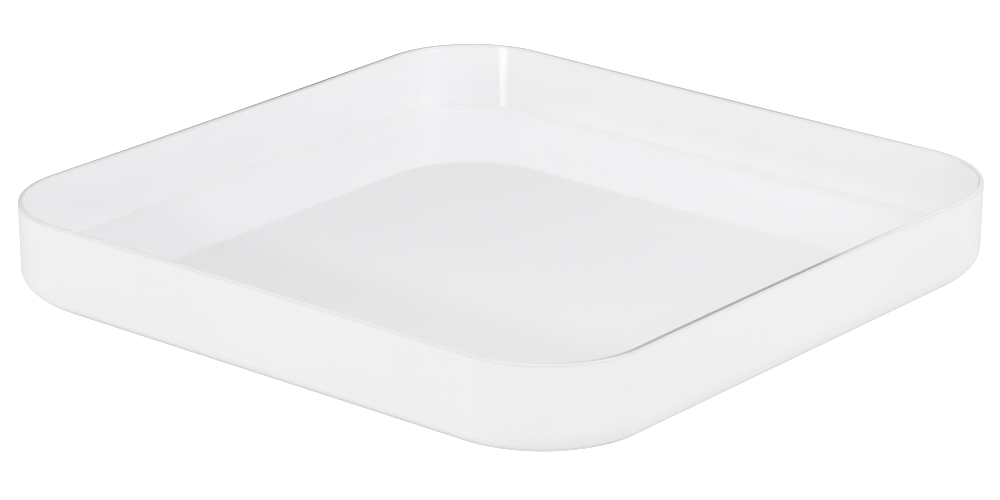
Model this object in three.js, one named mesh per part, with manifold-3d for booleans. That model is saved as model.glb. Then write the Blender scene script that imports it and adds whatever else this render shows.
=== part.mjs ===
// A square lazy susan: a glossy white tray that turns on a round base hidden under its floor.
//
// The tray is a shell (wall, rim and bottom flange) closed by a raised floor panel, which eight
// screws hold down. A ring of steel balls in a cage runs between the floor panel and the base,
// and a screw and washer on the panel's hub keep the two together.
//
// Millimetres, +Z up. The origin is on the turning axis, at the surface the feet stand on.

import * as THREE from "three";
import { mergeVertices } from "three/addons/utils/BufferGeometryUtils.js";
import Module from "manifold-3d";

const wasm = await Module();
wasm.setup();

// ---- Driving dimensions ----

const SIDE = 300; // outside width of the rim
const CORNER = 44; // outside corner radius
const HEIGHT = 41.5; // rim above the table
const WALL = 2.3;
const DRAFT = 0.2; // how much narrower the wall is at its foot than at its rim
const RIM_ROUND = 0.9;
const SKIRT_GAP = 3; // tray's lowest face above the table
const FOOT_CURVE = 11; // radius that turns the wall under into the bottom flange
const FLOOR_TOP = 13.8;
const FLOOR_THICK = 2.6;
const FIT = 0.3; // gap between pieces that rest on each other

const BASE_RADIUS = 100;
const BASE_BOTTOM = 1;
const BASE_PLATE_TOP = 3.4;
const BASE_LIP = { inner: 97.5, top: 5.2, chamfer: 1 };
const OPENING_RADIUS = 104; // round opening in the tray's bottom flange, around the base

const BALL_COUNT = 16;
const BALL_RADIUS = 2.5;
const BALL_CIRCLE = 80; // radius of the circle the balls' centres lie on
const BALL_HEIGHT = 7.3; // the balls' centres above the table
const BALL_PLAY = 0.1; // between a ball and the bottom of each groove
const GROOVE_RADIUS = 3;
const RACE_HALF_WIDTH = 5;
const RACE_LIP = 1.5; // from the balls' centres to the top face of each race
const CAGE = { halfWidth: 4.5, halfThickness: 0.9, pocketRadius: 2.8 };

const HUB = { radius: 6, bottom: 4.15, pilotRadius: 2.2, collarRadius: 10, collarBottom: 9.2 };
const BUSH = { bore: 6.1, radius: 8, flangeRadius: 11, bottom: 4.3, shoulder: 7.6, top: 8.4 };
const HUB_WELL = { bore: 8.2, recessRadius: 13, recessTop: 4.2, wallRadius: 16, top: 7.4 };
const WASHER = { bore: 2.3, radius: 11.5, bottom: 3.05, top: 3.95 };
const PIVOT_SCREW = { radius: 1.95, headRadius: 4.5, bottom: 1.3, headTop: 2.85, tip: 10.4 };

const FOOT_COUNT = 6;
const FOOT = { circle: 88, radius: 7, top: 2, chamfer: 0.4, recessRadius: 7.3, recessTop: 2.2 };

const PANEL_SCREW = { radius: 1.45, headRadius: 3, bottom: 3.3, headTop: 4.75, tip: 10.6 };
const SCREW_POST = { radius: 4, bottom: 7.1, pilotRadius: 1.65, pilotTop: 10.9 };
const SCREW_PAD = { radius: 5, top: 6.8, holeRadius: 1.9, headHole: 3.4, headHoleTop: 4.9 };
const SCREW_AT_SIDE = 124; // distance of a side's middle screw from the axis
const SCREW_AT_CORNER = 100; // x and y of a corner's screw

const RIB_THICK = 2;
const RADIAL_RIBS = 8;
const BASE_RIB_TOP = 5.2;
const PANEL_RIB_BOTTOM = 9.2;
const GUSSET_SPOTS = [-60, -30, 30, 60]; // along each side of the shell
const GUSSET_REACH = 13; // from the inside of the wall inwards

const RING_STEPS = 48;
const CORNER_STEPS = 5; // a corner gets twice as many facets
const CURVE_STEPS = 5;
const HUB_STEPS = 24;
const SMALL_STEPS = 12; // facets round a screw, a foot or a small hole
const OVERLAP = 0.5; // how far joined shapes run into each other

const HALF = SIDE / 2;
const FLOOR_UNDER = FLOOR_TOP - FLOOR_THICK;
const FLANGE_TOP = SKIRT_GAP + WALL;
const CURVE_TOP = SKIRT_GAP + FOOT_CURVE;
const FOOT_HALF = HALF - DRAFT; // half width of the wall where it starts to turn under

// ---- Materials ----

const paint = (color, roughness, metalness = 0) =>
  new THREE.MeshStandardMaterial({ color, roughness, metalness });

const glossWhite = paint(0xf1f2f4, 0.12);
const mattWhite = paint(0xe4e5e6, 0.55);
const acetal = paint(0xdadad4, 0.4);
const rubber = paint(0xb9bbbd, 0.85);
const steel = paint(0xc4c6c8, 0.2, 1);

// ---- Solids ----

function solid(geometry) {
  const bare = geometry.clone();
  bare.deleteAttribute("normal");
  bare.deleteAttribute("uv");
  const merged = mergeVertices(bare, 1e-4);
  return new wasm.Manifold(
    new wasm.Mesh({
      numProp: 3,
      vertProperties: new Float32Array(merged.attributes.position.array),
      triVerts: new Uint32Array(merged.index.array),
    }),
  );
}

function piece(name, shape, material) {
  const made = shape.getMesh();
  const geometry = new THREE.BufferGeometry();
  geometry.setAttribute("position", new THREE.BufferAttribute(made.vertProperties, 3));
  geometry.setIndex(new THREE.BufferAttribute(made.triVerts, 1));
  geometry.computeVertexNormals();
  const mesh = new THREE.Mesh(geometry, material);
  mesh.name = name;
  return mesh;
}

// A ring or disc about Z from [radius, height] points, listed so that the outside runs upwards.
function turned(profile, steps = RING_STEPS) {
  const points = profile.map(([radius, height]) => new THREE.Vector2(radius, height));
  if (profile[0][0] > 0) points.push(points[0].clone());
  return solid(new THREE.LatheGeometry(points, steps).rotateX(Math.PI / 2));
}

function cylinder(radius, bottom, top, x = 0, y = 0, steps = SMALL_STEPS) {
  const geometry = new THREE.CylinderGeometry(radius, radius, top - bottom, steps);
  return solid(geometry.rotateX(Math.PI / 2).translate(x, y, (bottom + top) / 2));
}

// A box that starts at `from` along X, `length` long and centred on Y, turned about Z.
function bar(from, length, thickness, bottom, top, angle) {
  const geometry = new THREE.BoxGeometry(length, thickness, top - bottom);
  geometry.translate(from + length / 2, 0, (bottom + top) / 2);
  return solid(geometry.rotateZ(angle));
}

const joinAll = (shapes) => shapes.reduce((all, shape) => all.add(shape));
const around = (count, make) =>
  Array.from({ length: count }, (_, i) => make((i * 2 * Math.PI) / count, i));

function roundedSquare(half, radius) {
  const c = half - radius;
  const shape = new THREE.Shape();
  shape.absarc(c, c, radius, 0, Math.PI / 2);
  shape.absarc(-c, c, radius, Math.PI / 2, Math.PI);
  shape.absarc(-c, -c, radius, Math.PI, Math.PI * 1.5);
  shape.absarc(c, -c, radius, Math.PI * 1.5, Math.PI * 2);
  return shape.getPoints(CORNER_STEPS);
}

// A solid through rounded squares stacked upwards, each { half, radius, z }.
function loft(levels) {
  const rings = levels.map(({ half, radius }) => roundedSquare(half, radius));
  const count = rings[0].length;
  const positions = rings.flatMap((ring, k) => ring.flatMap((p) => [p.x, p.y, levels[k].z]));
  const faces = [];
  for (let i = 0; i < count; i++) {
    const next = (i + 1) % count;
    for (let k = 0; k + 1 < rings.length; k++) {
      const low = k * count;
      const high = low + count;
      faces.push(low + i, low + next, high + next, low + i, high + next, high + i);
    }
  }
  const last = (rings.length - 1) * count;
  for (let i = 1; i + 1 < count; i++) {
    faces.push(0, i + 1, i, last, last + i, last + i + 1);
  }
  const geometry = new THREE.BufferGeometry();
  geometry.setAttribute("position", new THREE.Float32BufferAttribute(positions, 3));
  geometry.setIndex(faces);
  return solid(geometry);
}

// ---- Tray shell: wall, rim and bottom flange ----

// Levels of the wall's outside (inset 0) or inside (inset WALL), from the flange up to the rim.
function wallLevels(inset) {
  const radius = CORNER - inset;
  const bend = FOOT_CURVE - inset;
  const levels = [];
  for (let k = 0; k <= CURVE_STEPS; k++) {
    const turn = (Math.PI / 2) * (1 - k / CURVE_STEPS);
    levels.push({
      half: FOOT_HALF - FOOT_CURVE + bend * Math.cos(turn),
      radius,
      z: CURVE_TOP - bend * Math.sin(turn),
    });
  }
  const side = inset === 0 ? -1 : 1; // the rim rounds inwards outside, and outwards inside
  for (const turn of [0, Math.PI / 4, Math.PI / 2]) {
    levels.push({
      half: HALF - inset + side * RIM_ROUND * (1 - Math.cos(turn)),
      radius: radius + side * RIM_ROUND * (1 - Math.cos(turn)),
      z: HEIGHT - RIM_ROUND * (1 - Math.sin(turn)),
    });
  }
  return levels;
}

const screwSpots = around(4, (angle) => [
  [SCREW_AT_SIDE * Math.cos(angle), SCREW_AT_SIDE * Math.sin(angle)],
  [
    SCREW_AT_CORNER * Math.SQRT2 * Math.cos(angle + Math.PI / 4),
    SCREW_AT_CORNER * Math.SQRT2 * Math.sin(angle + Math.PI / 4),
  ],
]).flat();

function trayShell() {
  const outside = loft(wallLevels(0));
  const inner = wallLevels(WALL);
  const cavity = loft([...inner, { ...inner.at(-1), z: HEIGHT + 1 }]);
  const gussets = around(4, (angle) =>
    GUSSET_SPOTS.map((along) => {
      const from = FOOT_HALF - WALL - GUSSET_REACH;
      const length = GUSSET_REACH + OVERLAP;
      const top = FLOOR_UNDER - FIT;
      const geometry = new THREE.BoxGeometry(length, RIB_THICK, top - FLANGE_TOP + OVERLAP);
      geometry.translate(from + length / 2, along, (top + FLANGE_TOP - OVERLAP) / 2);
      return solid(geometry.rotateZ(angle));
    }),
  ).flat();
  const pads = screwSpots.map(([x, y]) =>
    cylinder(SCREW_PAD.radius, FLANGE_TOP - OVERLAP, SCREW_PAD.top, x, y),
  );
  const holes = screwSpots.flatMap(([x, y]) => [
    cylinder(SCREW_PAD.holeRadius, 0, SCREW_PAD.top + 1, x, y),
    cylinder(SCREW_PAD.headHole, 0, SCREW_PAD.headHoleTop, x, y),
  ]);
  const opening = cylinder(OPENING_RADIUS, 0, FLANGE_TOP + 1, 0, 0, RING_STEPS);
  const stiffeners = joinAll([...gussets, ...pads]).intersect(outside);
  return outside.subtract(cavity).add(stiffeners).subtract(joinAll([opening, ...holes]));
}

// ---- Ball bearing ----

// The groove's arc in a race: `side` is -1 for the base's, under the balls, and 1 for the panel's.
function groove(side) {
  const centre = BALL_HEIGHT + side * (BALL_RADIUS + BALL_PLAY - GROOVE_RADIUS);
  const face = BALL_HEIGHT + side * RACE_LIP;
  const lip = Math.asin((face - centre) / (side * GROOVE_RADIUS));
  const points = [];
  for (let k = 0; k <= CURVE_STEPS; k++) {
    const turn = lip + (k / CURVE_STEPS) * (Math.PI - 2 * lip);
    points.push([
      BALL_CIRCLE + GROOVE_RADIUS * Math.cos(turn),
      centre + side * GROOVE_RADIUS * Math.sin(turn),
    ]);
  }
  return points; // from the outer lip to the inner lip
}

function ballCage() {
  const low = BALL_HEIGHT - CAGE.halfThickness;
  const high = BALL_HEIGHT + CAGE.halfThickness;
  const inner = BALL_CIRCLE - CAGE.halfWidth;
  const outer = BALL_CIRCLE + CAGE.halfWidth;
  const ring = turned([
    [inner, low],
    [outer, low],
    [outer, high],
    [inner, high],
  ]);
  const pockets = around(BALL_COUNT, (angle) => {
    const x = BALL_CIRCLE * Math.cos(angle);
    const y = BALL_CIRCLE * Math.sin(angle);
    return cylinder(CAGE.pocketRadius, low - 1, high + 1, x, y);
  });
  return ring.subtract(joinAll(pockets));
}

// ---- Floor panel: floor, hub, upper race, screw posts and ribs ----

function floorPanel() {
  const inside = FOOT_HALF - FOOT_CURVE;
  const bend = FOOT_CURVE - WALL;
  const clear = (z) => inside + Math.sqrt(bend ** 2 - (CURVE_TOP - z) ** 2) - FIT;
  const radius = CORNER - WALL - FIT;
  const plate = loft([
    { half: clear(FLOOR_UNDER), radius, z: FLOOR_UNDER },
    { half: clear(FLOOR_TOP), radius, z: FLOOR_TOP },
  ]);
  const join = FLOOR_UNDER + OVERLAP;
  const race = turned([
    ...groove(1).reverse(),
    [BALL_CIRCLE + RACE_HALF_WIDTH, BALL_HEIGHT + RACE_LIP],
    [BALL_CIRCLE + RACE_HALF_WIDTH, join],
    [BALL_CIRCLE - RACE_HALF_WIDTH, join],
    [BALL_CIRCLE - RACE_HALF_WIDTH, BALL_HEIGHT + RACE_LIP],
  ]);
  const hub = turned([
    [0, HUB.bottom],
    [HUB.radius, HUB.bottom],
    [HUB.radius, HUB.collarBottom],
    [HUB.collarRadius, HUB.collarBottom],
    [HUB.collarRadius, join],
    [0, join],
  ], HUB_STEPS);
  const posts = screwSpots.map(([x, y]) =>
    cylinder(SCREW_POST.radius, SCREW_POST.bottom, join, x, y),
  );
  const ribs = around(RADIAL_RIBS, (angle, i) => {
    const end = i % 2 ? SCREW_AT_CORNER * Math.SQRT2 : SCREW_AT_SIDE;
    const from = HUB.collarRadius - 1;
    return bar(from, end - from, RIB_THICK, PANEL_RIB_BOTTOM, join, angle);
  });
  const track = turned([
    [BALL_CIRCLE - RACE_HALF_WIDTH + 1, 0],
    [BALL_CIRCLE + RACE_HALF_WIDTH - 1, 0],
    [BALL_CIRCLE + RACE_HALF_WIDTH - 1, FLOOR_UNDER],
    [BALL_CIRCLE - RACE_HALF_WIDTH + 1, FLOOR_UNDER],
  ]);
  const pilots = screwSpots.map(([x, y]) =>
    cylinder(SCREW_POST.pilotRadius, 0, SCREW_POST.pilotTop, x, y),
  );
  pilots.push(cylinder(HUB.pilotRadius, 0, SCREW_POST.pilotTop));
  return plate
    .add(joinAll(ribs).subtract(track))
    .add(joinAll([race, hub, ...posts]))
    .subtract(joinAll(pilots));
}

// ---- Base: plate, lip, lower race, hub well and ribs ----

function basePlate() {
  const raceTop = BALL_HEIGHT - RACE_LIP;
  const plate = turned([
    [HUB_WELL.bore, HUB_WELL.recessTop],
    [HUB_WELL.recessRadius, HUB_WELL.recessTop],
    [HUB_WELL.recessRadius, BASE_BOTTOM],
    [BASE_RADIUS - BASE_LIP.chamfer, BASE_BOTTOM],
    [BASE_RADIUS, BASE_BOTTOM + BASE_LIP.chamfer],
    [BASE_RADIUS, BASE_LIP.top],
    [BASE_LIP.inner, BASE_LIP.top],
    [BASE_LIP.inner, BASE_PLATE_TOP],
    [BALL_CIRCLE + RACE_HALF_WIDTH, BASE_PLATE_TOP],
    [BALL_CIRCLE + RACE_HALF_WIDTH, raceTop],
    ...groove(-1),
    [BALL_CIRCLE - RACE_HALF_WIDTH, raceTop],
    [BALL_CIRCLE - RACE_HALF_WIDTH, BASE_PLATE_TOP],
    [HUB_WELL.wallRadius, BASE_PLATE_TOP],
    [HUB_WELL.wallRadius, HUB_WELL.top],
    [HUB_WELL.bore, HUB_WELL.top],
  ]);
  const from = HUB_WELL.wallRadius - 1;
  const length = BALL_CIRCLE - RACE_HALF_WIDTH + 1 - from;
  const ribs = around(RADIAL_RIBS, (angle) =>
    bar(from, length, RIB_THICK, BASE_PLATE_TOP - OVERLAP, BASE_RIB_TOP, angle),
  );
  const recesses = footSpots.map(([x, y]) =>
    cylinder(FOOT.recessRadius, 0, FOOT.recessTop, x, y),
  );
  return plate.add(joinAll(ribs)).subtract(joinAll(recesses));
}

const footSpots = around(FOOT_COUNT, (angle) => [
  FOOT.circle * Math.cos(angle),
  FOOT.circle * Math.sin(angle),
]);

// ---- Small pieces, made about the Z axis ----

const foot = () =>
  turned([
    [0, 0],
    [FOOT.radius - FOOT.chamfer, 0],
    [FOOT.radius, FOOT.chamfer],
    [FOOT.radius, FOOT.top],
    [0, FOOT.top],
  ], SMALL_STEPS);

const pivotBush = () =>
  turned([
    [BUSH.bore, BUSH.bottom],
    [BUSH.radius, BUSH.bottom],
    [BUSH.radius, BUSH.shoulder],
    [BUSH.flangeRadius, BUSH.shoulder],
    [BUSH.flangeRadius, BUSH.top],
    [BUSH.bore, BUSH.top],
  ], HUB_STEPS);

const pivotWasher = () =>
  turned([
    [WASHER.bore, WASHER.bottom],
    [WASHER.radius, WASHER.bottom],
    [WASHER.radius, WASHER.top],
    [WASHER.bore, WASHER.top],
  ], HUB_STEPS);

// A pan-head screw standing on its head, with a cross recess in the head.
function screw({ radius, headRadius, bottom, headTop, tip }) {
  const dome = (headTop - bottom) * 0.4;
  const body = turned([
    [0, bottom],
    [headRadius - dome, bottom],
    [headRadius, bottom + dome],
    [headRadius, headTop],
    [radius, headTop],
    [radius, tip - radius],
    [radius * 0.2, tip],
    [0, tip],
  ], SMALL_STEPS);
  const slot = [headRadius, headRadius * 0.2];
  const depth = (headTop - bottom) * 0.5;
  const cross = [0, Math.PI / 2].map((angle) =>
    bar(-slot[0] / 2, slot[0], slot[1], bottom - 1, bottom + depth, angle),
  );
  return body.subtract(joinAll(cross));
}

const ball = () => solid(new THREE.IcosahedronGeometry(BALL_RADIUS, 1));

// ---- Assembly ----

const pad = (number) => String(number).padStart(2, "0");

function place(mesh, x, y, z = 0) {
  mesh.position.set(x, y, z);
  return mesh;
}

const tray = new THREE.Group();
tray.add(piece("tray_shell", trayShell(), glossWhite));
tray.add(piece("floor_panel", floorPanel(), glossWhite));
tray.add(piece("pivot_washer", pivotWasher(), steel));
tray.add(piece("pivot_screw", screw(PIVOT_SCREW), steel));
screwSpots.forEach(([x, y], i) => {
  tray.add(place(piece(`panel_screw_${i + 1}`, screw(PANEL_SCREW), steel), x, y));
});

const bearing = new THREE.Group();
bearing.add(piece("ball_cage", ballCage(), acetal));
around(BALL_COUNT, (angle, i) => {
  const x = BALL_CIRCLE * Math.cos(angle);
  const y = BALL_CIRCLE * Math.sin(angle);
  bearing.add(place(piece(`ball_${pad(i + 1)}`, ball(), steel), x, y, BALL_HEIGHT));
});

const base = new THREE.Group();
base.add(piece("base_plate", basePlate(), mattWhite));
base.add(piece("pivot_bush", pivotBush(), acetal));
footSpots.forEach(([x, y], i) => {
  base.add(place(piece(`foot_${i + 1}`, foot(), rubber), x, y));
});

const lazySusan = new THREE.Group();
lazySusan.add(tray, bearing, base);

export default lazySusan;
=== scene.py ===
"""The looks of the lazy susan turntable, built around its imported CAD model.

Every visible piece is rebuilt here at a finer grain than its CAD node: the tray shell with its
rounded rim, the glossy floor panel, the base with its feet, the bearing and the screws. Sizes are
in millimetres and turn into metres when a mesh is made.
"""

import math

import bmesh
import bpy
from mathutils import Matrix, Vector


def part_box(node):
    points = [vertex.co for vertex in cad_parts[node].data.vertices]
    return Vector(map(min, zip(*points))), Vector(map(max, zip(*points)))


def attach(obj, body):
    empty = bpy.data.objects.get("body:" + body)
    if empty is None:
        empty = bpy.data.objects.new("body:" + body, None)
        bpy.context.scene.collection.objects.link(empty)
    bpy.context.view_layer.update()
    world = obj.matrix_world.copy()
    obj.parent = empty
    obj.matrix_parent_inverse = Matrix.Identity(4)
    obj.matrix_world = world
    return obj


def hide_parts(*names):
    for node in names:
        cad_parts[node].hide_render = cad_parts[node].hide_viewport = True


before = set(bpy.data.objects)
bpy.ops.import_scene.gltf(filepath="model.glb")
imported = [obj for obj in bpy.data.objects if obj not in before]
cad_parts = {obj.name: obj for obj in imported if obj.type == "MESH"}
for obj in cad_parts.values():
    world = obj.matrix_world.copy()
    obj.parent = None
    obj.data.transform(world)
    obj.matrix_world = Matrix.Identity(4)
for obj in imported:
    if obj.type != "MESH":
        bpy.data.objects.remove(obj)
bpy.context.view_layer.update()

MM = 0.001
TAU = 2 * math.pi


def extent(node):
    """Radius or half width, bottom and top of an upright piece of the CAD."""
    low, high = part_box(node)
    return (high.x - low.x) / 2 / MM, low.z / MM, high.z / MM


def centre_of(node):
    """Where a piece of the CAD stands, as (x, y)."""
    low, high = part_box(node)
    return (low.x + high.x) / 2 / MM, (low.y + high.y) / 2 / MM


# ---- Sizes ----

HALF, SKIRT, RIM = extent("tray_shell")  # half width, lowest face and highest point of the tray
FLOOR_TOP = extent("floor_panel")[2]
CORNER = 44
WALL = 2.3
DRAFT = 0.2  # how much narrower the wall is at its foot than at its rim
RIM_ROUND = 0.9
SHADE_STOP = 0.35  # a level this far below the rounding keeps the rounding's painted shade off the wall
SIDE_BOW = 0.7  # how far the rim draws in at the middle of each side
FOOT_CURVE = 11  # radius that turns the wall under into the bottom flange
OPENING = {"radius": 104, "ease": 0.3}  # in the bottom flange, round the base
FLOOR_THICK = 2.6
FLOOR_GAP = 0.005  # between the floor panel and the wall
FLOOR_EASE = 0.01  # rounding of the floor panel's upper edge
FLOOR_DRAW_IN = 0.45  # how far its side leans in on the way down, clear of the curve inside the foot
FLOOR_CHAMFER = (1, 0.3)  # width and height of the chamfer below its side

FOOT_HALF = HALF - DRAFT  # half width of the wall where it starts to turn under
CURVE_TOP = SKIRT + FOOT_CURVE
FLANGE_TOP = SKIRT + WALL
FLOOR_UNDER = FLOOR_TOP - FLOOR_THICK

SCREW_PAD = {"radius": 5, "top": 6.8, "hole": 1.9, "head_hole": 3.4, "head_hole_top": 4.9}
SCREW_POST = {"radius": 4, "bottom": 7.1, "pilot": 1.65}
PILOT_TOP = 10.9  # end of the screw holes in the floor panel
HUB = {"radius": 6, "chamfer": (0.4, 0.35), "collar": 10, "collar_bottom": 9.2, "pilot": 2.2}
RIBS = 8
RIB_THICK = 2
PANEL_RIB = {"end": 122, "bottom": 9.2}
BASE_RIB = {"end": 76, "top": 5.2}
RIB_ROOT = 1  # how far a rib starts inside the round wall that it runs out from

BALL_COUNT = 16
BALL_RADIUS = extent("ball_01")[0]
BALL_HEIGHT = sum(extent("ball_01")[1:]) / 2
BALL_CIRCLE = 80  # radius of the circle the balls' centres lie on
BALL_PLAY = 0.1  # between a ball and the bottom of each groove
GROOVE_RADIUS = 3
RACE_LIP = 1.5  # from the balls' centres to the top face of each race
RACE_HALF_WIDTH = 5
RACE_INNER = BALL_CIRCLE - RACE_HALF_WIDTH
RACE_OUTER = BALL_CIRCLE + RACE_HALF_WIDTH
POCKET = 2.8  # radius of the cage's holes
CAGE_EASE = 0.4

BUSH = {"bore": 6.1, "radius": 8, "shoulder": 7.6, "ease": 0.25}
WASHER = {"bore": 2.3, "ease": 0.2}
PANEL_SCREW = {"radius": 1.45, "head_top": 4.75}
PIVOT_SCREW = {"radius": 1.95, "head_top": 2.85}
PANEL_SCREWS = 8

BASE_RADIUS, BASE_BOTTOM, WELL_TOP = extent("base_plate")
PLATE_TOP = 3.4
BASE_EDGE = 1  # rounding of the base's outer lower edge
BASE_LIP = {"inner": 97.5, "top": 5.2, "round": 0.5}
WELL = {"bore": 8.2, "recess": 13, "recess_top": 4.2, "wall": 16, "chamfer": 0.3}
UNDER_GROOVE = {"inner": 60, "outer": 63, "depth": 0.3}
PIN_MARKS = {"count": 6, "circle": 38, "start": 0.5, "radius": 3, "depth": 0.15}

FEET = 6
FOOT_RECESS = {"radius": 7.3, "top": 2.2}
FOOT_ROUND = {"lower": 0.4, "upper": 0.2}
TREADS = (1.6, 4.1)  # radii where the grooves in a foot's face start
TREAD = {"slope": 0.3, "width": 0.4, "depth": 0.25}

OVERLAP = 0.5  # how far joined shapes run into each other
BEYOND = 1  # how far a cut runs out past the face it opens

# ---- Fineness ----

CORNER_STEPS = 36
SIDE_STEPS = 16
FOOT_STEPS = 18
WALL_STEPS = 8
ROUND_STEPS = 8
RING_STEPS = 192
SMALL_RING_STEPS = 96
SMALL_STEPS = 48
BALL_CUTS = 11  # along each edge of the cube that a ball is made from
EASE_SHARE = 0.45  # most of a profile's side that the rounding at one of its ends may take
SLIVER = 0.0005  # faces thinner than this are left out after a cut
ON_AXIS = 1e-6  # a point nearer the axis than this lies on it


# ---- Profiles ----


def arc(centre, radius, start, end, steps=8):
    """Points on a circle in a profile's plane, from angle start to angle end, in degrees."""
    points = []
    for k in range(steps + 1):
        turn = math.radians(start + (end - start) * k / steps)
        points.append((centre[0] + radius * math.cos(turn), centre[1] + radius * math.sin(turn)))
    return points


def section(inner, outer, bottom, top):
    """The section of a flat ring."""
    return [(inner, bottom), (outer, bottom), (outer, top), (inner, top)]


def eased(corners, radius, steps=4):
    """A closed profile with each of its corners rounded off by up to radius."""
    points = []
    count = len(corners)
    for i in range(count):
        here = Vector(corners[i])
        before = Vector(corners[i - 1]) - here
        after = Vector(corners[(i + 1) % count]) - here
        reach = min(radius, before.length * EASE_SHARE, after.length * EASE_SHARE)
        start = here + before.normalized() * reach
        end = here + after.normalized() * reach
        for k in range(steps + 1):
            t = k / steps
            points.append(tuple(start.lerp(here, t).lerp(here.lerp(end, t), t)))
    return points


# ---- Meshes ----


def finish_mesh(name, bm, crease=35):
    """Turns a bmesh in millimetres into an object in metres, smooth but for edges over crease."""
    bmesh.ops.recalc_face_normals(bm, faces=bm.faces)
    bmesh.ops.scale(bm, vec=(MM, MM, MM), verts=bm.verts)
    mesh = bpy.data.meshes.new(name)
    bm.to_mesh(mesh)
    bm.free()
    obj = bpy.data.objects.new(name, mesh)
    bpy.context.scene.collection.objects.link(obj)
    shade(obj, crease)
    return obj


def shade(obj, crease=35):
    """Smooth shading, with sharp edges over crease degrees and flat shading on every flat cap."""
    mesh = obj.data
    mesh.shade_smooth()
    mesh.set_sharp_from_angle(angle=math.radians(crease))
    caps = [face for face in mesh.polygons if len(face.vertices) > 4]
    sharp = {tuple(sorted(pair)) for face in caps for pair in face.edge_keys}
    for face in mesh.polygons:
        face.use_smooth = len(face.vertices) <= 4
    for edge in mesh.edges:
        edge.use_edge_sharp |= tuple(sorted(edge.vertices)) in sharp
    if not obj.modifiers:
        weighted = obj.modifiers.new("weighted_normals", "WEIGHTED_NORMAL")
        weighted.keep_sharp = True


def skin(bm, rings, close_up=True):
    """Joins rings of points by quads. close_up joins the last ring to the first."""
    made = [[bm.verts.new(p) for p in ring] for ring in rings]
    count = len(made)
    for k in range(count if close_up else count - 1):
        low, high = made[k], made[(k + 1) % count]
        for i in range(len(low)):
            j = (i + 1) % len(low)
            bm.faces.new((low[i], low[j], high[j], high[i]))
    return made


def cap(bm, made):
    """Closes a skin with a flat face on its first ring and one on its last."""
    for ring in (made[0], made[-1]):
        bm.faces.new(ring)


def turned(name, profile, steps=RING_STEPS, crease=35, centre=(0, 0)):
    """A ring or disc about Z from a profile of (radius, height) points, listed all the way round."""
    bm = bmesh.new()
    add_turned(bm, profile, steps, centre)
    return finish_mesh(name, bm, crease)


def add_turned(bm, profile, steps=RING_STEPS, centre=(0, 0)):
    """Adds the same to a bmesh. Where the profile touches the axis, the ends are capped."""
    rings = [circle(radius, z, steps, centre) for radius, z in profile if radius >= ON_AXIS]
    is_ring = len(rings) == len(profile)
    made = skin(bm, rings, close_up=is_ring)
    if not is_ring:
        cap(bm, made)


def circle(radius, z, steps, centre):
    """Points round an upright axis at one height."""
    points = []
    for i in range(steps):
        turn = TAU * i / steps
        points.append((centre[0] + radius * math.cos(turn), centre[1] + radius * math.sin(turn), z))
    return points


def outline(half, radius):
    """Points round a square of rounded corners, as (x, y, how far along its side, 0 to 1)."""
    straight = half - radius
    side = []
    for k in range(SIDE_STEPS):
        side.append((half, -straight + 2 * straight * k / SIDE_STEPS, k / SIDE_STEPS))
    bend = arc((straight, straight), radius, 0, 90, CORNER_STEPS)[:-1]
    points = []
    for quarter in range(4):
        turn = quarter * math.pi / 2
        cos, sin = math.cos(turn), math.sin(turn)
        for x, y, part in side + [(x, y, 0) for x, y in bend]:
            points.append((x * cos - y * sin, x * sin + y * cos, part))
    return points


def square_ring(half, radius, z):
    """A ring round the tray at one height. Above the floor its sides draw in by up to SIDE_BOW."""
    rise = max(0, (z - FLOOR_TOP) / (RIM - FLOOR_TOP))
    ring = []
    for x, y, part in outline(half, radius):
        draw = SIDE_BOW * rise * 4 * part * (1 - part)
        if abs(x) > abs(y):
            x -= math.copysign(draw, x)
        else:
            y -= math.copysign(draw, y)
        ring.append((x, y, z))
    return ring


def opening_ring(radius, z):
    """A circle with its points in line with those of the rounded squares."""
    ring = []
    for x, y, _ in outline(HALF, CORNER):
        reach = math.hypot(x, y)
        ring.append((x * radius / reach, y * radius / reach, z))
    return ring


def carve(obj, tool, operation="DIFFERENCE"):
    """Cuts tool out of obj, or joins it on, and removes tool."""
    obj.modifiers.clear()
    change = obj.modifiers.new("carve", "BOOLEAN")
    change.operation = operation
    change.solver = "EXACT"
    change.object = tool
    result = bpy.data.meshes.new_from_object(obj.evaluated_get(bpy.context.evaluated_depsgraph_get()))
    bm = bmesh.new()
    bm.from_mesh(result)
    bmesh.ops.dissolve_degenerate(bm, dist=SLIVER * MM, edges=bm.edges)
    bm.to_mesh(result)
    bm.free()
    obj.modifiers.clear()
    old = obj.data
    obj.data = result
    result.name = obj.name
    bpy.data.meshes.remove(old)
    bpy.data.objects.remove(tool)
    shade(obj)


def drums(spots, radius, bottom, top, steps=SMALL_STEPS):
    """One upright cylinder at each of the spots, as a single tool for carve."""
    bm = bmesh.new()
    for spot in spots:
        add_turned(bm, [(0, bottom), (radius, bottom), (radius, top), (0, top)], steps, spot)
    return finish_mesh("tool", bm)


def bars(count, start, end, thickness, bottom, top):
    """Upright radial bars round the axis, as a single tool for carve."""
    bm = bmesh.new()
    for i in range(count):
        made = bmesh.ops.create_cube(bm, size=1)["verts"]
        bmesh.ops.scale(bm, vec=(end - start, thickness, top - bottom), verts=made)
        bmesh.ops.translate(bm, vec=((start + end) / 2, 0, (bottom + top) / 2), verts=made)
        turn = Matrix.Rotation(TAU * i / count, 3, "Z")
        bmesh.ops.rotate(bm, cent=(0, 0, 0), matrix=turn, verts=made)
    return finish_mesh("tool", bm)


# ---- Materials ----

# painted light: the white that the shell's foot is lightened towards
PAINTED_LIGHT_WHITE = (0.985, 0.985, 0.988)
# painted light: the white that the floor is lightened towards near the wall
FLOOR_LIGHT_WHITE = (0.97, 0.97, 0.975)
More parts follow.
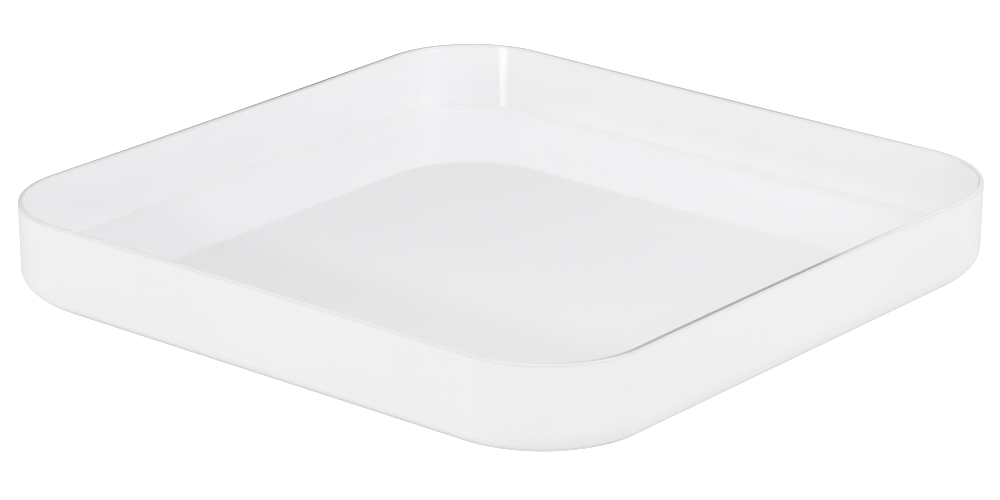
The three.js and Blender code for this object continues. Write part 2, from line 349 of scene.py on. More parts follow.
# painted shade: the dark grey of the painted lines along the rim and the foot
PAINTED_SHADE_GREY = (0.1, 0.1, 0.105)
FLOOR_LIGHT_REACH = 14  # how far from the wall the painted light on the floor's edge starts
FLOOR_LIGHT_SHARE = 0.85  # how much of that painted light's white the floor takes at the wall
FLOOR_LIGHT_STRETCH = 0.8  # the painted light is narrower along the sides that face X


class Shader:
    """A Principled material whose colour, roughness and bump come from nodes."""

    def __init__(self, name):
        self.material = bpy.data.materials.new(name)
        self.material.use_nodes = True
        self.nodes = self.material.node_tree.nodes
        self.links = self.material.node_tree.links
        self.surface = self.nodes["Principled BSDF"]
        self.place = self.nodes.new("ShaderNodeTexCoord").outputs["Object"]

    def noise(self, size_mm, detail, stretch=None):
        """Noise with features of about size_mm, as a 0 to 1 value."""
        place = self.place
        if stretch:
            mapping = self.nodes.new("ShaderNodeMapping")
            mapping.inputs["Scale"].default_value = stretch
            self.links.new(place, mapping.inputs["Vector"])
            place = mapping.outputs["Vector"]
        node = self.nodes.new("ShaderNodeTexNoise")
        node.inputs["Scale"].default_value = 1 / (size_mm * MM)
        node.inputs["Detail"].default_value = detail
        self.links.new(place, node.inputs["Vector"])
        return node.outputs["Fac"]

    def spread(self, value, low, high, start=0.3, end=0.7):
        """Maps a value from start..end to low..high."""
        node = self.nodes.new("ShaderNodeMapRange")
        for socket, number in (("From Min", start), ("From Max", end), ("To Min", low), ("To Max", high)):
            node.inputs[socket].default_value = number
        self.links.new(value, node.inputs["Value"])
        return node.outputs["Result"]

    def vector(self, operation, value, other=None):
        """One step of vector maths, on a socket and at most one fixed vector."""
        node = self.nodes.new("ShaderNodeVectorMath")
        node.operation = operation
        self.links.new(value, node.inputs[0])
        if other:
            node.inputs[1].default_value = other
        return node.outputs["Value" if operation == "LENGTH" else "Vector"]

    def by_wall(self, reach):
        """Rises from 0 to 1 over the last stretch of the floor before the wall, whatever the height."""
        straight = (HALF - CORNER) * MM
        past = self.vector("SUBTRACT", self.vector("ABSOLUTE", self.place), (straight, straight, 1))
        past = self.vector("MAXIMUM", past, (0, 0, 0))
        distance = self.vector("LENGTH", self.vector("MULTIPLY", past, (FLOOR_LIGHT_STRETCH, 1, 1)))
        wall = CORNER - WALL
        return self.spread(distance, 0, 1, (wall - reach) * MM, wall * MM)

    def attribute(self, name):
        """A number stored at each point of the mesh."""
        node = self.nodes.new("ShaderNodeAttribute")
        node.attribute_name = name
        return node.outputs["Fac"]

    def math(self, operation, a, b):
        """One step of maths. Each of a and b is a number or a socket."""
        node = self.nodes.new("ShaderNodeMath")
        node.operation = operation
        for socket, value in zip(node.inputs, (a, b)):
            if isinstance(value, (int, float)):
                socket.default_value = value
            else:
                self.links.new(value, socket)
        return node.outputs["Value"]

    def mix(self, amount, first, second):
        """Blends two colours by amount. A colour is three numbers or a socket."""
        node = self.nodes.new("ShaderNodeMix")
        node.data_type = "RGBA"
        colours = [s for s in node.inputs if s.type == "RGBA"]
        for socket, value in zip(colours, (first, second)):
            if isinstance(value, tuple):
                socket.default_value = (*value, 1)
            else:
                self.links.new(value, socket)
        self.links.new(amount, node.inputs["Factor"])
        return next(s for s in node.outputs if s.type == "RGBA")

    def colour(self, socket):
        self.links.new(socket, self.surface.inputs["Base Color"])

    def roughness(self, socket):
        self.links.new(socket, self.surface.inputs["Roughness"])

    def bump(self, *layers):
        """Stacks bump layers, each (height socket, depth in mm)."""
        normal = None
        for height, depth in layers:
            node = self.nodes.new("ShaderNodeBump")
            node.inputs["Distance"].default_value = depth * MM
            node.inputs["Strength"].default_value = 1
            self.links.new(height, node.inputs["Height"])
            if normal:
                self.links.new(normal, node.inputs["Normal"])
            normal = node.outputs["Normal"]
        self.links.new(normal, self.surface.inputs["Normal"])

    def fixed(self, **values):
        """Sets inputs of the surface to constants."""
        for name, value in values.items():
            self.surface.inputs[name.replace("_", " ")].default_value = value


def gloss_white():
    """The shell: high-gloss white moulding, with painted shade lines along its rim and foot, where it is
    also duller, and painted light at its foot.
    """
    s = Shader("gloss_white_moulding")
    s.fixed(IOR=1.5)
    tint = s.mix(s.spread(s.noise(90, 2), 0, 1), (0.902, 0.903, 0.909), (0.914, 0.915, 0.919))
    # painted shade: dark lines along the rim and the foot, stored at the shell's points
    edge = s.attribute("painted_shade_lines")
    # painted light on the foot, then the painted shade lines over it
    s.colour(s.mix(edge, s.mix(s.attribute("painted_foot_light"), tint, PAINTED_LIGHT_WHITE), PAINTED_SHADE_GREY))
    smudge = s.spread(s.noise(22, 4), 0.06, 0.11)
    s.roughness(s.math("ADD", smudge, s.math("MULTIPLY", edge, 0.25)))
    s.bump((s.noise(4.5, 1.5), 0.0035), (s.noise(60, 1), 0.06))
    return s.material


def gloss_floor():
    """The floor panel: polished harder than the shell, so that it mirrors the walls, with painted light
    near the wall.
    """
    s = Shader("gloss_white_floor")
    s.fixed(IOR=1.5)
    tint = s.mix(s.spread(s.noise(120, 2), 0, 1), (0.812, 0.814, 0.828), (0.826, 0.828, 0.84))
    # painted light: whiter towards the wall, where shade falls
    light_layer = s.math("MULTIPLY", s.math("POWER", s.by_wall(FLOOR_LIGHT_REACH), 2), FLOOR_LIGHT_SHARE)
    s.colour(s.mix(light_layer, tint, FLOOR_LIGHT_WHITE))
    haze = s.spread(s.noise(35, 4), 0.01, 0.02)
    scratch = s.spread(s.noise(1.2, 2, (0.04, 1, 1)), 0, 0.05, 0.66, 0.74)
    s.roughness(s.math("ADD", haze, scratch))
    s.bump((s.noise(9, 1.5), 0.0008))
    return s.material


def matt_white():
    """The base: white moulding with a fine spark-eroded grain."""
    s = Shader("matt_white_moulding")
    s.colour(s.mix(s.spread(s.noise(30, 4), 0, 1), (0.77, 0.775, 0.78), (0.82, 0.822, 0.825)))
    s.roughness(s.spread(s.noise(6, 4), 0.48, 0.62))
    s.bump((s.noise(0.45, 3), 0.03), (s.noise(40, 2), 0.15))
    return s.material


def acetal():
    """The cage and the bush: natural acetal, waxy and slightly yellow."""
    s = Shader("natural_acetal")
    s.colour(s.mix(s.spread(s.noise(12, 3), 0, 1), (0.70, 0.70, 0.66), (0.76, 0.76, 0.73)))
    s.roughness(s.spread(s.noise(5, 3), 0.3, 0.45))
    s.bump((s.noise(1.5, 2), 0.02))
    return s.material


def rubber():
    """The feet: grey rubber with dust on it."""
    s = Shader("grey_rubber")
    dust = s.spread(s.noise(3, 5), 0, 1, 0.45, 0.8)
    s.colour(s.mix(dust, (0.42, 0.43, 0.44), (0.6, 0.6, 0.59)))
    s.roughness(s.spread(s.noise(2, 4), 0.75, 0.95))
    s.bump((s.noise(0.3, 4), 0.04))
    return s.material


def zinc_steel():
    """The screws and the washer: zinc-plated steel with an uneven sheen."""
    s = Shader("zinc_plated_steel")
    s.fixed(Metallic=1.0)
    s.colour(s.mix(s.spread(s.noise(2.5, 4), 0, 1), (0.55, 0.56, 0.58), (0.72, 0.72, 0.70)))
    s.roughness(s.spread(s.noise(1.2, 4), 0.22, 0.42))
    s.bump((s.noise(0.25, 3), 0.015))
    return s.material


def ball_steel():
    """The balls: polished steel under a thin smear of grease."""
    s = Shader("polished_bearing_steel")
    s.fixed(Metallic=1.0)
    s.colour(s.mix(s.spread(s.noise(1.5, 3), 0, 1), (0.62, 0.63, 0.65), (0.70, 0.70, 0.71)))
    s.roughness(s.spread(s.noise(0.8, 4), 0.04, 0.14))
    s.bump((s.noise(0.3, 2), 0.001))
    return s.material


LOOKS = {
    "shell": gloss_white(),
    "floor": gloss_floor(),
    "base": matt_white(),
    "acetal": acetal(),
    "rubber": rubber(),
    "zinc": zinc_steel(),
    "ball": ball_steel(),
}


def settle(obj, look, body, node):
    """Gives a piece its material, and puts it in place of its CAD node."""
    obj.data.materials.clear()
    obj.data.materials.append(LOOKS[look])
    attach(obj, body)
    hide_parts(node)


# ---- Painted shade and painted light along the tray's edges ----

# Each table below gives a number at angles round Z, in degrees. The side facing +X is at 0, and the
# side facing +Y at 90.

RIM_SHADE = [  # how dark the painted shade line on the crest of the rim is
    (-180, 0.61), (-150, 0.5), (-140, 0.38), (-133, 0.2), (-90, 0.12), (-50, 0.12), (-41, 0.32),
    (-35, 0.61), (-20, 0.7), (3, 0.7), (6, 0.62), (10, 0.42), (17, 0.32), (24, 0.16), (40, 0.1),
    (45, 0.15), (50, 0.25), (56, 0.4), (90, 0.6), (130, 0.45), (150, 0.67), (160, 0.8), (180, 0.61),
]
FOOT_SHADE = [  # how dark the painted shadow line along the outer foot is
    (-180, 0.1), (-48, 0.14), (-45.5, 0.35), (-41, 0.45), (-38.5, 0.4), (-35, 0.1), (-32, 0),
    (150, 0), (180, 0.1),
]
FOOT_LINE = [  # how far round the foot's curve that line starts, in degrees from the curve's top
    (-180, 35), (-56, 35), (-50, 39), (-38, 39), (-30, 37), (180, 35),
]
INNER_PAINTED_LIGHT = [  # how strong the painted light at the foot of the inner wall is
    (-180, 0.35), (-160, 0.5), (-130, 0.8), (0, 0.5), (40, 0.8), (110, 0.75), (130, 0.45),
    (150, 0.25), (180, 0.35),
]
CREST = 0.25  # depth of the painted shade on the crest of the rim
CREST_FULL = 0.15  # depth down to which that painted shade is full
ROUND_DEPTH = 1.08  # depth to which the rest of the rim's rounding gets painted shade
ROUND_FADE = 0.3  # over which that painted shade comes in
ROUND_SHADE = 0.16  # how dark that painted shade is on the outside, and on the inside near +X
ROUND_SHARE = 0.3  # how dark it is elsewhere on the inside, as a share of the crest's painted shade
FAR_ANGLE = 50  # where "elsewhere" begins, to both sides of +X
INNER_FADE = 9  # height over which the painted light at the foot of the inner wall comes in
CURVE_START = 0.01  # a point less than this below the top of the foot's curve counts as wall
FOOT_LINE_FADE = 7  # degrees round the curve over which the foot's painted shadow line comes in
FOOT_LINE_END = (85, 78)  # degrees round the curve where it has gone, and where it starts to go
FOOT_LIGHT_FULL = 25  # degrees round the curve from which the painted light on the outer foot is full
FOOT_LIGHT_POWER = 1.5


def by_angle(table, angle):
    """A table's number at an angle round Z."""
    for (low, start), (high, end) in zip(table, table[1:]):
        if angle <= high:
            return start + (end - start) * (angle - low) / (high - low)
    return table[-1][1]


def step(value, start, end):
    """Rises from 0 to 1 as value goes from start to end."""
    return min(1.0, max(0.0, (value - start) / (end - start)))


def inward(x, y):
    """How far a point lies inside the outline of the tray."""
    over_x, over_y = abs(x) - HALF + CORNER, abs(y) - HALF + CORNER
    if over_x > 0 and over_y > 0:
        return CORNER - math.hypot(over_x, over_y)
    return HALF - max(abs(x), abs(y))


def on_outer_foot(x, y, below):
    """Whether a point at a depth below the top of the foot's curve lies on the outside of the foot."""
    inset = DRAFT + FOOT_CURVE - math.sqrt(FOOT_CURVE ** 2 - below ** 2)
    return below > CURVE_START and inward(x, y) < inset + WALL / 2


def outer_foot_marks(angle, below):
    """The painted shadow line and the painted light on the outer foot."""
    turn = math.degrees(math.asin(below / FOOT_CURVE))
    start = by_angle(FOOT_LINE, angle)
    line = step(turn, start, start + FOOT_LINE_FADE) * step(turn, *FOOT_LINE_END)
    return by_angle(FOOT_SHADE, angle) * line, step(turn, 0, FOOT_LIGHT_FULL) ** FOOT_LIGHT_POWER


def wall_marks(angle, inside, z):
    """The painted shade on the rim and the painted light at the inner wall's foot, for the rest of the
    shell from the rim down to the flange.
    """
    shade_here = by_angle(RIM_SHADE, angle)
    far_inside = inside and abs(angle) > FAR_ANGLE
    round_shade = ROUND_SHARE * shade_here if far_inside else ROUND_SHADE
    crest = shade_here * step(z, RIM - CREST, RIM - CREST_FULL)
    rounding = round_shade * step(z, RIM - ROUND_DEPTH, RIM - ROUND_DEPTH + ROUND_FADE)
    light_layer = by_angle(INNER_PAINTED_LIGHT, angle) * step(z, FLOOR_TOP + INNER_FADE, FLOOR_TOP) if inside else 0.0
    return max(crest, rounding), light_layer


def mark_edges(shell):
    """Stores at each point of the shell its painted shade and its painted light."""
    shade_layer = shell.data.attributes.new("painted_shade_lines", "FLOAT", "POINT")
    light_layer = shell.data.attributes.new("painted_foot_light", "FLOAT", "POINT")
    for i, v in enumerate(shell.data.vertices):
        x, y, z = (c / MM for c in v.co)
        angle = math.degrees(math.atan2(y, x))
        below = min(FOOT_CURVE, max(0.0, CURVE_TOP - z))
        if on_outer_foot(x, y, below):
            marks = outer_foot_marks(angle, below)
        else:
            marks = wall_marks(angle, inward(x, y) > WALL / 2, z)
        shade_layer.data[i].value, light_layer.data[i].value = marks


# ---- The tray ----


def screw_spots():
    """Where the screws that hold the floor panel stand."""
    return [centre_of(f"panel_screw_{i}") for i in range(1, PANEL_SCREWS + 1)]


def wall_profile(inset):
    """(half width, corner radius, height) from the flange up to the rim, outside or inset by WALL."""
    levels = []
    radius = CORNER - inset
    bend = FOOT_CURVE - inset
    for k in range(FOOT_STEPS + 1):
        turn = math.radians(90 * (1 - k / FOOT_STEPS))
        half = FOOT_HALF - FOOT_CURVE + bend * math.cos(turn)
        levels.append((half, radius, CURVE_TOP - bend * math.sin(turn)))
    top = RIM - RIM_ROUND
    for k in range(1, WALL_STEPS):
        part = k / WALL_STEPS
        height = CURVE_TOP + (top - CURVE_TOP) * part
        levels.append((FOOT_HALF - inset + DRAFT * part, radius, height))
    levels.append((HALF - inset, radius, top - SHADE_STOP))
    side = 1 if inset else -1
    for k in range(ROUND_STEPS + 1):
        turn = math.radians(90 * k / ROUND_STEPS)
        shift = side * RIM_ROUND * (1 - math.cos(turn))
        levels.append((HALF - inset + shift, radius + shift, top + RIM_ROUND * math.sin(turn)))
    return levels


def tray_shell():
    """The wall with its foot and flange, and the pads and holes for the screws."""
    radius, ease = OPENING["radius"], OPENING["ease"]
    rings = [square_ring(*level) for level in wall_profile(0)]
    rings += [square_ring(*level) for level in reversed(wall_profile(WALL))]
    rings += [opening_ring(radius + ease, FLANGE_TOP), opening_ring(radius, FLANGE_TOP - ease)]
    rings += [opening_ring(radius, SKIRT + ease), opening_ring(radius + ease, SKIRT)]
    bm = bmesh.new()
    skin(bm, rings)
    shell = finish_mesh("tray_shell_detailed", bm)
    spots, pad = screw_spots(), SCREW_PAD
    carve(shell, drums(spots, pad["radius"], FLANGE_TOP - OVERLAP, pad["top"]), "UNION")
    carve(shell, drums(spots, pad["head_hole"], SKIRT - BEYOND, pad["head_hole_top"]))
    carve(shell, drums(spots, pad["hole"], SKIRT - BEYOND, pad["top"] + BEYOND))
    mark_edges(shell)
    settle(shell, "shell", "tray", "tray_shell")


def groove(side):
    """The groove of one race, from its outer lip to its inner lip. side is -1 below, 1 above."""
    centre = BALL_HEIGHT + side * (BALL_RADIUS + BALL_PLAY - GROOVE_RADIUS)
    lip = math.degrees(math.asin((BALL_HEIGHT + side * RACE_LIP - centre) / (side * GROOVE_RADIUS)))
    return arc((BALL_CIRCLE, centre), GROOVE_RADIUS, side * lip, side * (180 - lip), 12)


def race(side, root):
    """The section of one race, from its outer side over the groove to its inner side."""
    face = BALL_HEIGHT + side * RACE_LIP
    return [(RACE_OUTER, root), (RACE_OUTER, face), *groove(side), (RACE_INNER, face), (RACE_INNER, root)]


def hub(join):
    """The section of the hub that turns in the bush, with its collar."""
    bottom = extent("floor_panel")[1]
    radius, (across, up) = HUB["radius"], HUB["chamfer"]
    shaft = [(0, bottom), (radius - across, bottom), (radius, bottom + up), (radius, HUB["collar_bottom"])]
    return shaft + [(HUB["collar"], HUB["collar_bottom"]), (HUB["collar"], join), (0, join)]


def floor_plate():
    """The floor itself, with its eased edge."""
    radius = CORNER - WALL - 2 * FLOOR_GAP
    edge = FOOT_HALF - WALL - FLOOR_GAP
    low_edge = edge - FLOOR_DRAW_IN
    across, up = FLOOR_CHAMFER
    levels = [(low_edge - across, FLOOR_UNDER), (low_edge, FLOOR_UNDER + up)]
    levels += arc((edge - FLOOR_EASE, FLOOR_TOP - FLOOR_EASE), FLOOR_EASE, 0, 90, 6)
    rings = [square_ring(half, radius + half - edge, z) for half, z in levels]
    bm = bmesh.new()
    cap(bm, skin(bm, rings, close_up=False))
    return finish_mesh("floor_panel_detailed", bm)


def floor_panel():
    """The floor, with the ribs, race, hub and screw posts under it."""
    panel = floor_plate()
    join = FLOOR_UNDER + OVERLAP
    ribs = bars(RIBS, HUB["collar"] - RIB_ROOT, PANEL_RIB["end"], RIB_THICK, PANEL_RIB["bottom"], join)
    carve(panel, ribs, "UNION")
    carve(panel, turned("tool", race(1, join)[::-1]), "UNION")
    carve(panel, turned("tool", hub(join), SMALL_STEPS), "UNION")
    spots, post = screw_spots(), SCREW_POST
    carve(panel, drums(spots, post["radius"], post["bottom"], join), "UNION")
    carve(panel, drums(spots, post["pilot"], post["bottom"] - BEYOND, PILOT_TOP))
    carve(panel, drums([(0, 0)], HUB["pilot"], extent("floor_panel")[1] - BEYOND, PILOT_TOP))
    settle(panel, "floor", "tray", "floor_panel")


# ---- Screws, washer and bush ----

# A head's dome_reach is a share of its radius, and its dome_rise, bend and bend_height are shares of
# its height. A thread's pitch, root and tip are shares of the shank's radius, and its flank is a
# share of its pitch. A cross's mouth and end are the length and width of an arm as shares of the
# head's radius, and its depth is a share of the head's height.

HEAD = {
    "dome_reach": 0.62, "dome_rise": 0.05, "bend": 0.55, "bend_height": 0.6, "bend_start": -80,
    "chamfer": 0.1,
}
THREAD = {"start": 0.3, "pitch": 0.55, "root": 0.78, "flank": 0.35, "tip": 0.2}
CROSS = {"mouth": (1.15, 0.26), "end": (0.5, 0.16), "depth": 0.62, "turn": 0.3, "beyond": 0.2}


def head_profile(radius, bottom, top):
    """The section of a pan head that stands on its domed face."""
    height = top - bottom
    points = [(0, bottom)]
    for part in (1 / 3, 2 / 3, 1):
        points.append((radius * HEAD["dome_reach"] * part, bottom + height * HEAD["dome_rise"] * part ** 2))
    bend = height * HEAD["bend"]
    points += arc((radius - bend, bottom + height * HEAD["bend_height"]), bend, HEAD["bend_start"], 0, 8)
    return points + [(radius, top - HEAD["chamfer"]), (radius - HEAD["chamfer"], top)]


def screw(node, radius, head_top):
    """A pan-head screw standing on its head, with a cross recess and a threaded shank."""
    head_radius, bottom, tip = extent(node)
    profile = head_profile(head_radius, bottom, head_top) + [(radius, head_top)]
    profile += threads(radius, head_top + THREAD["start"], tip - radius)
    profile += [(radius * THREAD["tip"], tip), (0, tip)]
    obj = turned(node + "_detailed", profile, SMALL_STEPS, centre=centre_of(node))
    for turn in (CROSS["turn"], CROSS["turn"] + math.pi / 2):
        carve(obj, cross_arm(centre_of(node), head_radius, bottom, head_top - bottom, turn))
    settle(obj, "zinc", "tray", node)


def threads(radius, bottom, top):
    """Rings that stand for the thread: crests at the shank's radius with roots between."""
    pitch = radius * THREAD["pitch"]
    root = radius * THREAD["root"]
    flank = pitch * THREAD["flank"]
    points = []
    for k in range(int((top - bottom) / pitch)):
        crest = bottom + (k + 0.5) * pitch
        points += [(root, crest - flank), (radius, crest), (root, crest + flank)]
    return points


def cross_arm(centre, head_radius, bottom, head, turn):
    """One arm of a cross recess, narrower where it is deeper."""
    bm = bmesh.new()
    made = bmesh.ops.create_cube(bm, size=1)["verts"]
    for v in made:
        deep = v.co.z > 0
        length, width = CROSS["end"] if deep else CROSS["mouth"]
        v.co.x *= head_radius * length
        v.co.y *= head_radius * width
        v.co.z = bottom + head * CROSS["depth"] if deep else bottom - CROSS["beyond"]
    bmesh.ops.rotate(bm, cent=(0, 0, 0), matrix=Matrix.Rotation(turn, 3, "Z"), verts=made)
    bmesh.ops.translate(bm, vec=(*centre, 0), verts=made)
    return finish_mesh("tool", bm)


def fastenings():
    """The screws, the washer under the hub and the bush that the hub turns in."""
    for i in range(1, PANEL_SCREWS + 1):
        screw(f"panel_screw_{i}", **PANEL_SCREW)
    screw("pivot_screw", **PIVOT_SCREW)
    ring = eased(section(WASHER["bore"], *extent("pivot_washer")), WASHER["ease"])
    washer = turned("pivot_washer_detailed", ring, SMALL_RING_STEPS)
    settle(washer, "zinc", "tray", "pivot_washer")
    bore, radius, shoulder = BUSH["bore"], BUSH["radius"], BUSH["shoulder"]
    flange, bottom, top = extent("pivot_bush")
    corners = [(bore, bottom), (radius, bottom), (radius, shoulder)]
    corners += [(flange, shoulder), (flange, top), (bore, top)]
    bush = turned("pivot_bush_detailed", eased(corners, BUSH["ease"]), SMALL_RING_STEPS)
    settle(bush, "acetal", "base", "pivot_bush")


# ---- The bearing ----


def ball(i):
    """A bearing ball, from a cube whose faces are divided and pushed out to the sphere."""
    node = f"ball_{i:02d}"
    bm = bmesh.new()
    bmesh.ops.create_cube(bm, size=2)
    bmesh.ops.subdivide_edges(bm, edges=bm.edges, cuts=BALL_CUTS, use_grid_fill=True)
    for v in bm.verts:
        v.co = v.co.normalized() * BALL_RADIUS
    bmesh.ops.translate(bm, vec=(*centre_of(node), BALL_HEIGHT), verts=bm.verts)
    obj = finish_mesh(node + "_detailed", bm, crease=60)
    settle(obj, "ball", "rolling_" + node, node)


def cage():
    """The flat ring that spaces the balls, with a hole for each."""
    outer, low, high = extent("ball_cage")
    ring = section(2 * BALL_CIRCLE - outer, outer, low, high)
    obj = turned("ball_cage_detailed", eased(ring, CAGE_EASE), RING_STEPS)
    spots = [centre_of(f"ball_{i:02d}") for i in range(1, BALL_COUNT + 1)]
    carve(obj, drums(spots, POCKET, low - BEYOND, high + BEYOND))
    settle(obj, "acetal", "cage", "ball_cage")


# ---- The base ----


def foot(i):
    """A rubber foot with two tread grooves in its face."""
    node = f"foot_{i}"
    radius, _, top = extent(node)
    profile = [(0, 0)]
    for start in TREADS:
        floor = start + TREAD["slope"]
        end = floor + TREAD["width"]
        profile += [(start, 0), (floor, TREAD["depth"])]
        profile += [(end, TREAD["depth"]), (end + TREAD["slope"], 0)]
    lower, upper = FOOT_ROUND["lower"], FOOT_ROUND["upper"]
    profile += arc((radius - lower, lower), lower, -90, 0, 5)
    profile += arc((radius - upper, top - upper), upper, 0, 90, 4)
    profile.append((0, top))
    obj = turned(node + "_detailed", profile, SMALL_RING_STEPS, crease=50, centre=centre_of(node))
    settle(obj, "rubber", "base", node)


def base_profile():
    """The section of the base, from its bore outwards underneath and back above."""
    bottom, lip, edge = BASE_BOTTOM, BASE_LIP, WELL["chamfer"]
    points = [(WELL["bore"], WELL["recess_top"]), (WELL["recess"], WELL["recess_top"])]
    points += [(WELL["recess"], bottom + edge), (WELL["recess"] + edge, bottom)]
    inner, outer, deep = UNDER_GROOVE["inner"], UNDER_GROOVE["outer"], UNDER_GROOVE["depth"]
    points += [(inner, bottom), (inner + deep, bottom + deep)]
    points += [(outer - deep, bottom + deep), (outer, bottom)]
    points += arc((BASE_RADIUS - BASE_EDGE, bottom + BASE_EDGE), BASE_EDGE, -90, 0, 8)
    points += arc((BASE_RADIUS - lip["round"], lip["top"] - lip["round"]), lip["round"], 0, 90, 5)
    points += arc((lip["inner"] + lip["round"], lip["top"] - lip["round"]), lip["round"], 90, 180, 5)
    points += [(lip["inner"], PLATE_TOP), *race(-1, PLATE_TOP), (WELL["wall"], PLATE_TOP)]
    points += [(WELL["wall"], WELL_TOP - edge), (WELL["wall"] - edge, WELL_TOP)]
    points += [(WELL["bore"] + edge, WELL_TOP), (WELL["bore"], WELL_TOP - edge)]
    return points


def base_plate():
    """The base, with its ribs, the recesses for the feet and the round marks of ejector pins."""
    obj = turned("base_plate_detailed", base_profile())
    start = WELL["wall"] - RIB_ROOT
    ribs = bars(RIBS, start, BASE_RIB["end"], RIB_THICK, PLATE_TOP - OVERLAP, BASE_RIB["top"])
    carve(obj, ribs, "UNION")
    spots = [centre_of(f"foot_{i}") for i in range(1, FEET + 1)]
    carve(obj, drums(spots, FOOT_RECESS["radius"], BASE_BOTTOM - BEYOND, FOOT_RECESS["top"]))
    marks = []
    for k in range(PIN_MARKS["count"]):
        turn = TAU * k / PIN_MARKS["count"] + PIN_MARKS["start"]
        marks.append((PIN_MARKS["circle"] * math.cos(turn), PIN_MARKS["circle"] * math.sin(turn)))
    deep = BASE_BOTTOM + PIN_MARKS["depth"]
    carve(obj, drums(marks, PIN_MARKS["radius"], BASE_BOTTOM - BEYOND, deep))
    settle(obj, "base", "base", "base_plate")


# ---- Camera, light and stage ----

# Angles are in degrees, the lens is in millimetres and the distance and the target are in metres.

CAMERA = {"azimuth": 39.504, "elevation": 20.09, "roll": 0.179, "distance": 1.7336, "lens": 152.15}
TARGET = Vector((-0.02139, 0.02311, SKIRT * MM))


def camera():
    """Looks down at the near corner of the tray, through a long lens."""
    az, el, roll = (math.radians(CAMERA[k]) for k in ("azimuth", "elevation", "roll"))
    back = Vector((math.sin(az) * math.cos(el), -math.cos(az) * math.cos(el), math.sin(el)))
    level = Vector((math.cos(az), math.sin(az), 0))
    upright = back.cross(level)
    right = level * math.cos(roll) + upright * math.sin(roll)
    up = upright * math.cos(roll) - level * math.sin(roll)
    data = bpy.data.cameras.new("camera")
    data.lens = CAMERA["lens"]
    data.sensor_width = 36
    obj = bpy.data.objects.new("camera", data)
    turn = Matrix((right, up, back)).transposed().to_4x4()
    obj.matrix_world = Matrix.Translation(TARGET + back * CAMERA["distance"]) @ turn
    bpy.context.scene.collection.objects.link(obj)
    bpy.context.scene.camera = obj


SOFTBOXES = {  # place, aim and size in metres, then power, colour and shape
    "softbox_left": ((-1.25, -1.65, 0.9), (0, 0, 0), (1.2, 1.0), 4.75, (1, 0.985, 0.965)),
    "softbox_right": ((2.1, 0.25, 0.9), (0, 0, 0), (1.2, 1.0), 8.0, (0.95, 0.967, 1)),
    "softbox_top": ((0.3, 0.2, 1.9), (0, 0, 0), (1.6, 1.6), 9.5, (1, 1, 1)),
    "softbox_near": ((0.75, 0.25, 0.7), (0, 0, 0), (0.5, 0.5), 1.25, (1, 1, 1)),
    "oval_strip": ((-0.075, -2.0, 0.608), (-0.075, 0, 0.608), (0.4, 0.175), 8.1, (1, 1, 1), "ELLIPSE"),
}


def softbox(name, place, aim, size, power, colour, shape="RECTANGLE"):
    """An area light that shines from place towards aim."""
    data = bpy.data.lights.new(name, "AREA")
    data.shape = shape
    data.size, data.size_y = size
    data.energy = power
    data.color = colour
    obj = bpy.data.objects.new(name, data)
    obj.location = place
    obj.rotation_euler = (Vector(place) - Vector(aim)).to_track_quat("Z", "Y").to_euler()
    bpy.context.scene.collection.objects.link(obj)


# The studio round the object glows evenly, but for its far wall. Each BAND is a range of the cosine
# between a direction and an axis, and each CHANGE is what it adds to the glow at its two ends.

STUDIO_GLOW = 0.62
RIGHT = (0.772, 0.636, 0)
AWAY = (-0.636, 0.772, 0)
UP = (0, 0, 1)
FAR_BAND = (0.6, 0.9)  # away from the camera, where the far wall begins and where it counts fully
SIDE_BAND = (-0.16, 0.16)  # from left to right
SIDE_CHANGE = (-0.15, 0.15)
LOW_BAND = (0.3, 0.38)  # from low down upwards
LOW_CHANGE = (-0.24, 0.16)


def ramp(tree, look, axis, band, change):
    """A soft step over a band of directions, between the two numbers of change."""
    dot = tree.nodes.new("ShaderNodeVectorMath")
    dot.operation = "DOT_PRODUCT"
    dot.inputs[1].default_value = axis
    tree.links.new(look, dot.inputs[0])
    soft = tree.nodes.new("ShaderNodeMapRange")
    soft.interpolation_type = "SMOOTHSTEP"
    soft.inputs["From Min"].default_value, soft.inputs["From Max"].default_value = band
    soft.inputs["To Min"].default_value, soft.inputs["To Max"].default_value = change
    tree.links.new(dot.outputs["Value"], soft.inputs["Value"])
    return soft.outputs["Result"]


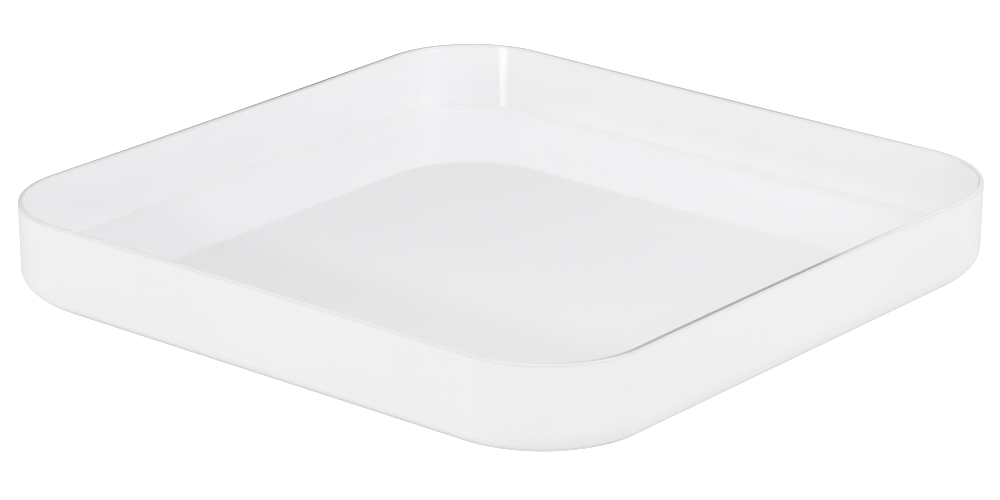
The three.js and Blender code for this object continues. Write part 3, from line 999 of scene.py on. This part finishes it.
def studio():
    """A pale room whose far wall is lighter on its right and darker low down."""
    world = bpy.data.worlds.new("studio")
    bpy.context.scene.world = world
    world.use_nodes = True
    tree = world.node_tree
    look = tree.nodes.new("ShaderNodeTexCoord").outputs["Generated"]
    both = tree.nodes.new("ShaderNodeMath")
    tree.links.new(ramp(tree, look, RIGHT, SIDE_BAND, SIDE_CHANGE), both.inputs[0])
    tree.links.new(ramp(tree, look, UP, LOW_BAND, LOW_CHANGE), both.inputs[1])
    glow = tree.nodes.new("ShaderNodeMath")
    glow.operation = "MULTIPLY_ADD"
    tree.links.new(both.outputs["Value"], glow.inputs[0])
    tree.links.new(ramp(tree, look, AWAY, FAR_BAND, (0, 1)), glow.inputs[1])
    glow.inputs[2].default_value = STUDIO_GLOW
    background = tree.nodes["Background"]
    tree.links.new(glow.outputs["Value"], background.inputs["Strength"])
    background.inputs["Color"].default_value = (1, 1, 1, 1)


STAGE_HALF = 12000
STAGE = {"albedo": 0.9, "glow": 0.9}
BOUNCE = {"albedo": 0.33, "glow": 0.42}


def stage_plane(name, z, albedo, glow):
    """A wide level plane that is faintly mottled and glows a little."""
    bm = bmesh.new()
    bmesh.ops.create_grid(bm, x_segments=8, y_segments=8, size=STAGE_HALF)
    bmesh.ops.translate(bm, vec=(0, 0, z), verts=bm.verts)
    plane = finish_mesh(name, bm)
    s = Shader(name)
    s.colour(s.mix(s.spread(s.noise(400, 2), 0, 1), (albedo,) * 3, (albedo + 0.01,) * 3))
    s.fixed(Roughness=0.9, Specular_IOR_Level=0.0, Emission_Color=(1, 1, 1, 1), Emission_Strength=glow)
    plane.data.materials.append(s.material)
    return plane


def stage():
    """A white floor for the camera, and just under it a plainer one that lights the object."""
    shown = stage_plane("stage_floor", 0, **STAGE)
    shown.visible_diffuse = False
    shown.visible_glossy = False
    shown.visible_shadow = False
    bounce = stage_plane("stage_bounce", -1, **BOUNCE)
    bounce.visible_camera = False
    bpy.context.scene.view_settings.view_transform = "Standard"


camera()
stage()
for name, settings in SOFTBOXES.items():
    softbox(name, *settings)
studio()
tray_shell()
floor_panel()
fastenings()
cage()
for number in range(1, BALL_COUNT + 1):
    ball(number)
for number in range(1, FEET + 1):
    foot(number)
base_plate()
